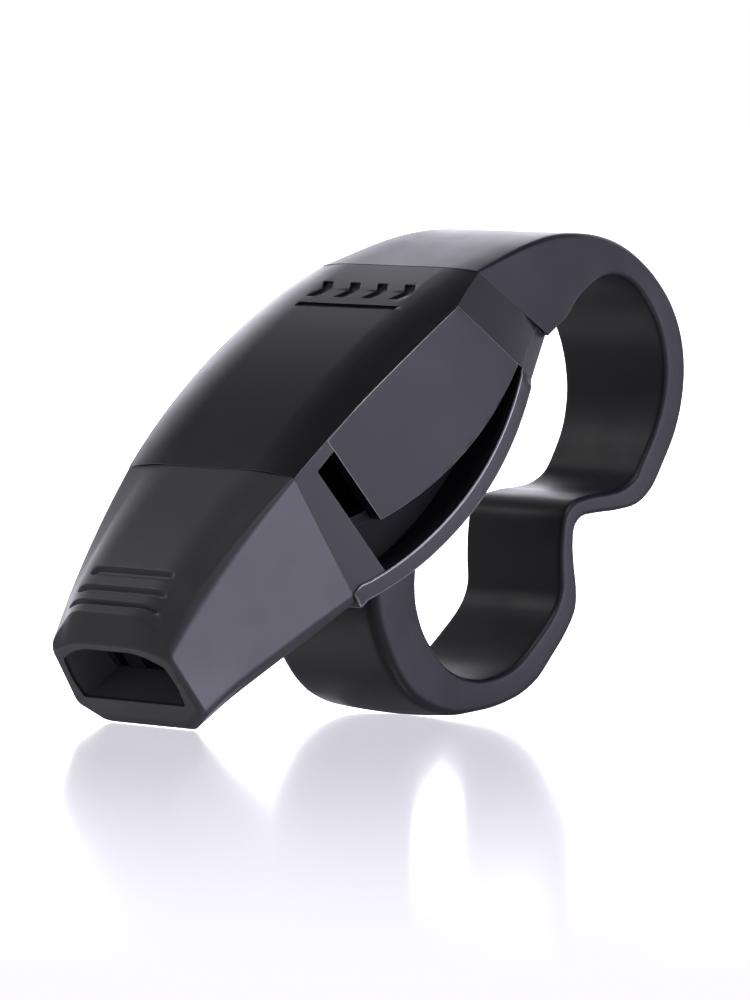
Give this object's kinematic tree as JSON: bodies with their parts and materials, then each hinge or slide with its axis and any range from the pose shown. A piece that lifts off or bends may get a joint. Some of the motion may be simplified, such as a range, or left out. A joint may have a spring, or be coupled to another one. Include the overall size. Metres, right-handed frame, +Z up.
{
  "type": "training whistle",
  "caption": "Pealess training whistle with an arched hard body, side windows, a soft tapered mouth grip and a soft finger grip that forms two joined loops.",
  "frame": {"origin": "middle of the length and width, on the surface that the whistle rests on", "axes": "+X from the mouthpiece to the finger grip, +Y across the whistle, +Z up; the whistle lies on its lower lip and its lower finger loop, with its body rising about 43 degrees to the tail"},
  "size_m": [0.07, 0.0294, 0.0485],
  "materials": {
    "case_plastic": "satin charcoal black moulded plastic",
    "core_plastic": "plain black moulded plastic",
    "mouth_rubber": "soft-touch charcoal rubber",
    "grip_rubber": "soft-touch charcoal rubber with a faint violet cast"
  },
  "bodies": {
    "root": {"mouthpiece_sleeve": "mouth_rubber", "air_block": "core_plastic", "upper_casing": "case_plastic", "belly_plate": "case_plastic", "chamber_plate_left": "case_plastic", "chamber_plate_right": "case_plastic", "chamber_wall_left": "core_plastic", "chamber_wall_right": "core_plastic", "tail_plug": "core_plastic", "finger_grip": "grip_rubber"}
  },
  "joints": []
}
